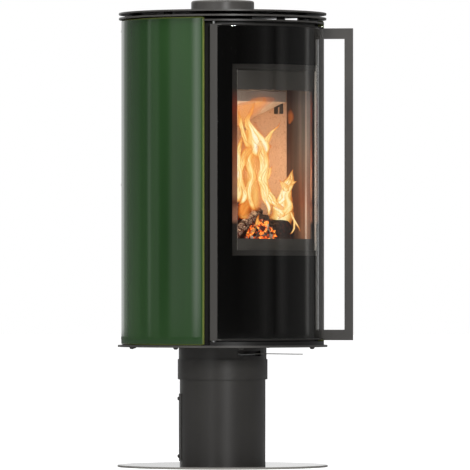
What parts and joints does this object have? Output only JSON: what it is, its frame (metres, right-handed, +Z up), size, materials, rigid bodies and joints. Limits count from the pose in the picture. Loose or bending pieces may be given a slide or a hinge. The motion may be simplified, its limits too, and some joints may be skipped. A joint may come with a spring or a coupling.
{
  "type": "wood stove",
  "caption": "Round wood stove on a swivel pedestal, with full-height glazed ceramic side panels, a curved glass door with a bar handle, stacked top plates and a top flue collar.",
  "frame": {"origin": "centre of the base plate's underside, on the floor", "axes": "+Z up along the swivel and flue axis, the door faces -Y at rest, +X to the right of someone facing the door"},
  "size_m": [0.4999, 0.539, 1.108],
  "materials": {
    "steel_paint": "satin heat-proof stove paint, warm dark grey",
    "black_steel": "matt black heat-proof paint",
    "bare_steel": "zinc-plated steel",
    "stainless": "brushed stainless steel",
    "brass": "turned bearing metal",
    "cast_iron": "raw cast iron",
    "ceramic_glaze": "dark green glazed stove ceramic, opaque",
    "glass_ceramic": "clear glass ceramic with a black enamelled border",
    "vermiculite": "pressed vermiculite board",
    "fibre_rope": "glass-fibre rope and tape",
    "log_wood": "charred firewood"
  },
  "bodies": {
    "pedestal": {"base_plate": "steel_paint", "pedestal_tube": "steel_paint", "pedestal_rear_cover": "steel_paint", "rear_cover_screws": "steel_paint", "swivel_lower_ring": "bare_steel", "swivel_slide_ring": "brass"},
    "door": {"door_frame": "steel_paint", "door_glass": "glass_ceramic", "glass_gasket": "fibre_rope", "door_seal": "fibre_rope", "hinge_bushes": "brass", "door_handle": "steel_paint", "handle_screws": "bare_steel", "latch_blade": "bare_steel"},
    "air_lever": {"air_lever": "stainless"},
    "latch_roller": {"latch_roller": "bare_steel"},
    "stove": {"swivel_upper_ring": "bare_steel", "neck_tube": "steel_paint", "swivel_collar": "steel_paint", "air_chamber": "black_steel", "damper_pivot": "bare_steel", "air_spigot": "bare_steel", "air_spigot_spacers": "bare_steel", "bottom_plate": "steel_paint", "bottom_plate_screws": "steel_paint", "firebox_shell": "black_steel", "front_frame": "steel_paint", "frame_pillars": "steel_paint", "lower_front_rail": "steel_paint", "upper_frame": "steel_paint", "inner_casing_right": "bare_steel", "inner_casing_left": "bare_steel", "ceramic_panel_right": "ceramic_glaze", "ceramic_panel_left": "ceramic_glaze", "felt_strips": "fibre_rope", "rear_panel": "steel_paint", "rear_panel_screws": "steel_paint", "firebox_floor": "black_steel", "ash_shelf": "black_steel", "ash_pan": "bare_steel", "floor_bricks": "vermiculite", "side_bricks_lower": "vermiculite", "side_bricks_upper": "vermiculite", "back_brick": "vermiculite", "baffle_plate": "vermiculite", "baffle_brackets": "black_steel", "firebox_jambs": "black_steel", "grate": "cast_iron", "firewood": "log_wood", "vent_ring": "steel_paint", "top_plate": "steel_paint", "top_spacers": "black_steel", "flue_pipe": "black_steel", "flue_collar": "steel_paint", "hinge_pin_lower": "bare_steel", "hinge_pin_upper": "bare_steel", "latch_bracket": "bare_steel", "latch_pin": "bare_steel"}
  },
  "joints": [
    {"name": "swivel", "type": "hinge", "parent": "pedestal", "child": "stove", "pos_m": [0, 0, 0.238], "axis": [0, 0, 1], "range_deg": [-90, 90]},
    {"name": "door_hinge", "type": "hinge", "parent": "stove", "child": "door", "pos_m": [-0.16593, -0.16535, 0.3], "axis": [0, 0, -1], "range_deg": [0, 100]},
    {"name": "air_lever_turn", "type": "hinge", "parent": "stove", "child": "air_lever", "pos_m": [0, 0, 0.27], "axis": [0, 0, 1], "range_deg": [-15, 15]},
    {"name": "latch_roller_spin", "type": "hinge", "parent": "stove", "child": "latch_roller", "pos_m": [0.16426, -0.12711, 0.672], "axis": [0, 0, 1], "continuous": true}
  ]
}
